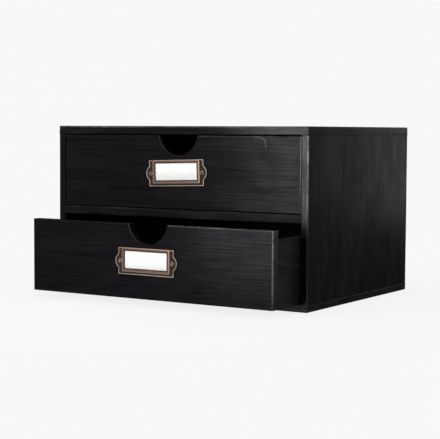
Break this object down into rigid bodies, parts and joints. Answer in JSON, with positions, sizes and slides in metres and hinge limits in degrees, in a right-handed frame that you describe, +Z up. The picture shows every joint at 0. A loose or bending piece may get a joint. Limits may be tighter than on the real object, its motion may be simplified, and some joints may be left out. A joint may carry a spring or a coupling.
{
  "type": "desktop drawer organizer",
  "caption": "Black wooden desktop organizer with stacked drawers, half-round finger cuts and metal label holders.",
  "frame": {"origin": "centre of the case's footprint on the face that it stands on", "axes": "+Z up, the drawers face and open towards -Y, +X is to the right seen from the front"},
  "size_m": [0.328, 0.3043, 0.193],
  "materials": {
    "black_stained_front": "black stained pine with a satin sheen, grain across the drawer front, worn on the edges",
    "black_stained_pine": "black stained pine with a satin sheen, grain along the board",
    "black_hardboard": "thin hardboard, stained black and matt",
    "beech_dowel": "bare beech",
    "steel_nail": "blackened steel brads",
    "antique_copper": "stamped sheet metal, antique copper plated, dark in the hollows and rubbed bright on the edges",
    "antique_nail": "darkened antique copper, domed heads",
    "white_card": "blank white card, matt"
  },
  "bodies": {
    "case": {"case_top_panel": "black_stained_pine", "case_bottom_panel": "black_stained_pine", "case_left_side": "black_stained_pine", "case_right_side": "black_stained_pine", "case_shelf": "black_stained_pine", "case_back_panel": "black_hardboard", "case_dowels": "beech_dowel", "case_back_nails": "steel_nail"},
    "upper_drawer": {"upper_drawer_front": "black_stained_front", "upper_drawer_left_side": "black_stained_pine", "upper_drawer_right_side": "black_stained_pine", "upper_drawer_back": "black_stained_pine", "upper_drawer_bottom": "black_hardboard", "upper_drawer_dowels": "beech_dowel", "upper_drawer_brads": "steel_nail", "upper_label_holder": "antique_copper", "upper_label_nails": "antique_nail"},
    "upper_card": {"upper_label_card": "white_card"},
    "lower_drawer": {"lower_drawer_front": "black_stained_front", "lower_drawer_left_side": "black_stained_pine", "lower_drawer_right_side": "black_stained_pine", "lower_drawer_back": "black_stained_pine", "lower_drawer_bottom": "black_hardboard", "lower_drawer_dowels": "beech_dowel", "lower_drawer_brads": "steel_nail", "lower_label_holder": "antique_copper", "lower_label_nails": "antique_nail"},
    "lower_card": {"lower_label_card": "white_card"}
  },
  "joints": [
    {"name": "upper_drawer_slide", "type": "slide", "parent": "case", "child": "upper_drawer", "axis": [0, -1, 0], "range_m": [0, 0.18]},
    {"name": "upper_card_slide", "type": "slide", "parent": "upper_drawer", "child": "upper_card", "axis": [-0.0332, 0, 0.9995], "range_m": [0, 0.025]},
    {"name": "lower_drawer_slide", "type": "slide", "parent": "case", "child": "lower_drawer", "axis": [0, -1, 0], "range_m": [-0.057, 0.123]},
    {"name": "lower_card_slide", "type": "slide", "parent": "lower_drawer", "child": "lower_card", "axis": [0, 0, 1], "range_m": [0, 0.025]}
  ]
}
